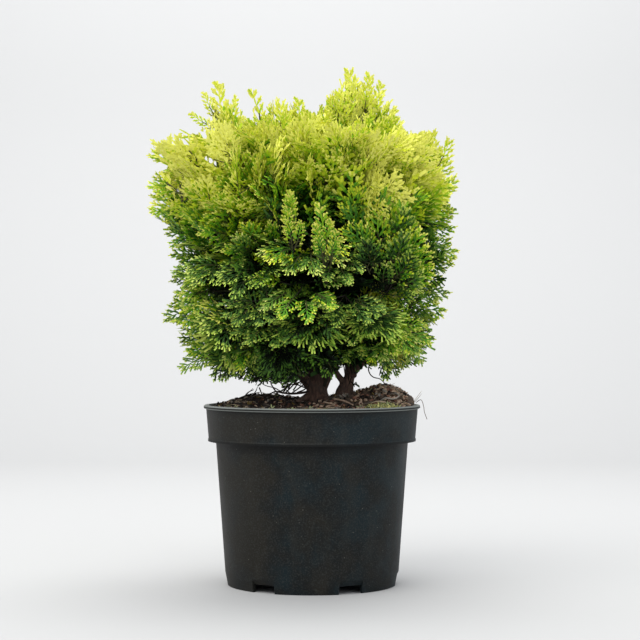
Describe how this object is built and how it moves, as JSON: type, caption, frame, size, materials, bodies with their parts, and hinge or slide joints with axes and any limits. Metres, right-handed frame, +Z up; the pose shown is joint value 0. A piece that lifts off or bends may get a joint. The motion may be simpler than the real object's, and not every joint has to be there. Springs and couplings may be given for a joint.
{
  "type": "potted dwarf hinoki cypress",
  "caption": "Dwarf hinoki cypress with forked stems and a dense rounded crown of golden-green fan sprays, standing in a round black nursery pot full of potting mix.",
  "frame": {"origin": "centre of the flat pad under the pot, in the plane that the pot stands on", "axes": "+Z up the pot's axis, +X to the plant's right as seen from the front, -Y towards the front"},
  "size_m": [0.3166, 0.3096, 0.535],
  "materials": {
    "pot_plastic": "satin black moulded plastic, faintly mottled and dusty",
    "potting_mix": "dark moist bark and peat mix with pale fibres",
    "bark": "dull reddish-brown fibrous bark",
    "foliage_golden": "golden-green scale leaves in flat fans",
    "foliage_green": "mid to dark green scale leaves in flat fans with lime tips"
  },
  "bodies": {
    "root": {"pot": "pot_plastic", "potting_mix": "potting_mix", "trunk": "bark", "stem_right": "bark", "bough_left": "bark", "bough_front_left": "bark", "bough_front": "bark", "bough_back_left": "bark", "bough_back": "bark", "bough_front_right": "bark", "bough_right": "bark", "bough_back_right": "bark", "bough_upper_left": "bark", "bough_upper_front": "bark", "bough_upper_right": "bark", "skirt_right": "foliage_green", "skirt_back_right": "foliage_green", "skirt_back": "foliage_green", "skirt_back_left": "foliage_green", "skirt_left": "foliage_green", "skirt_front_left": "foliage_green", "skirt_front": "foliage_green", "skirt_front_right": "foliage_green", "hip_right": "foliage_green", "hip_back_right": "foliage_green", "hip_back": "foliage_green", "hip_back_left": "foliage_green", "hip_left": "foliage_green", "hip_front_left": "foliage_green", "hip_front": "foliage_green", "hip_front_right": "foliage_green", "waist_right": "foliage_green", "waist_back_right": "foliage_green", "waist_back": "foliage_green", "waist_back_left": "foliage_green", "waist_left": "foliage_green", "waist_front_left": "foliage_green", "waist_front": "foliage_green", "waist_front_right": "foliage_green", "shoulder_right": "foliage_golden", "shoulder_back_right": "foliage_golden", "shoulder_back": "foliage_golden", "shoulder_back_left": "foliage_golden", "shoulder_left": "foliage_golden", "shoulder_front_left": "foliage_golden", "shoulder_front": "foliage_golden", "shoulder_front_right": "foliage_golden", "plume_tall": "foliage_golden", "plume_left": "foliage_golden", "plume_mid_left": "foliage_golden", "plume_mid": "foliage_golden", "plume_mid_right": "foliage_golden", "plume_right": "foliage_golden", "plume_back_left": "foliage_golden", "plume_back": "foliage_golden", "plume_back_right": "foliage_golden", "plume_front_left": "foliage_golden", "plume_front": "foliage_golden", "plume_front_right": "foliage_golden"}
  },
  "joints": []
}
